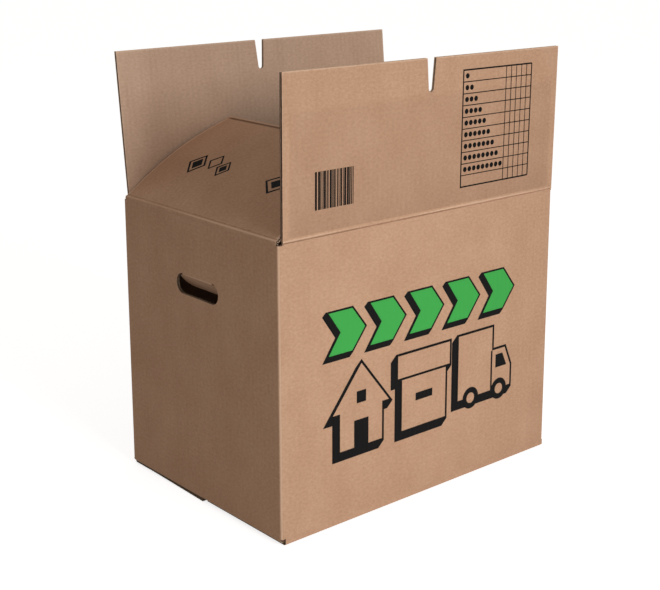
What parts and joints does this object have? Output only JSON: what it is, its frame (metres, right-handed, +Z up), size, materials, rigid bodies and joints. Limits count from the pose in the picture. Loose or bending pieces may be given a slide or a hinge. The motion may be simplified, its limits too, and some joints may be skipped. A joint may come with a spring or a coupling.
{
  "type": "moving box",
  "caption": "Open slotted moving box of corrugated board, with four hinged top flaps and push-in hand holes in both ends.",
  "frame": {"origin": "middle of the box's footprint, on the floor it stands on", "axes": "+Z up, X along the long front panel, -Y towards the front"},
  "size_m": [0.456, 0.3375, 0.5493],
  "materials": {
    "board": "matte"
  },
  "bodies": {
    "box": {"body": "board"},
    "front_flap": {"front_top_flap": "board"},
    "back_flap": {"back_top_flap": "board"},
    "left_flap": {"left_top_flap": "board"},
    "right_flap": {"right_top_flap": "board"},
    "left_tab": {"left_hand_tab": "board"},
    "right_tab": {"right_hand_tab": "board"}
  },
  "joints": [
    {"name": "front_flap_fold", "type": "hinge", "parent": "box", "child": "front_flap", "pos_m": [0, -0.159, 0.3628], "axis": [1, 0, 0], "range_deg": [0, 170]},
    {"name": "back_flap_fold", "type": "hinge", "parent": "box", "child": "back_flap", "pos_m": [0, 0.159, 0.3628], "axis": [-1, 0, 0], "range_deg": [0, 168]},
    {"name": "left_flap_fold", "type": "hinge", "parent": "box", "child": "left_flap", "pos_m": [-0.228, 0, 0.3643], "axis": [0, -1, 0], "range_deg": [-27.2, 228]},
    {"name": "right_flap_fold", "type": "hinge", "parent": "box", "child": "right_flap", "pos_m": [0.228, 0, 0.3643], "axis": [0, 1, 0], "range_deg": [-27.2, 228]},
    {"name": "left_tab_fold", "type": "hinge", "parent": "box", "child": "left_tab", "pos_m": [-0.228, 0, 0.2893], "axis": [0, -1, 0], "range_deg": [-40, 38]},
    {"name": "right_tab_fold", "type": "hinge", "parent": "box", "child": "right_tab", "pos_m": [0.228, 0, 0.2893], "axis": [0, 1, 0], "range_deg": [-40, 38]}
  ]
}
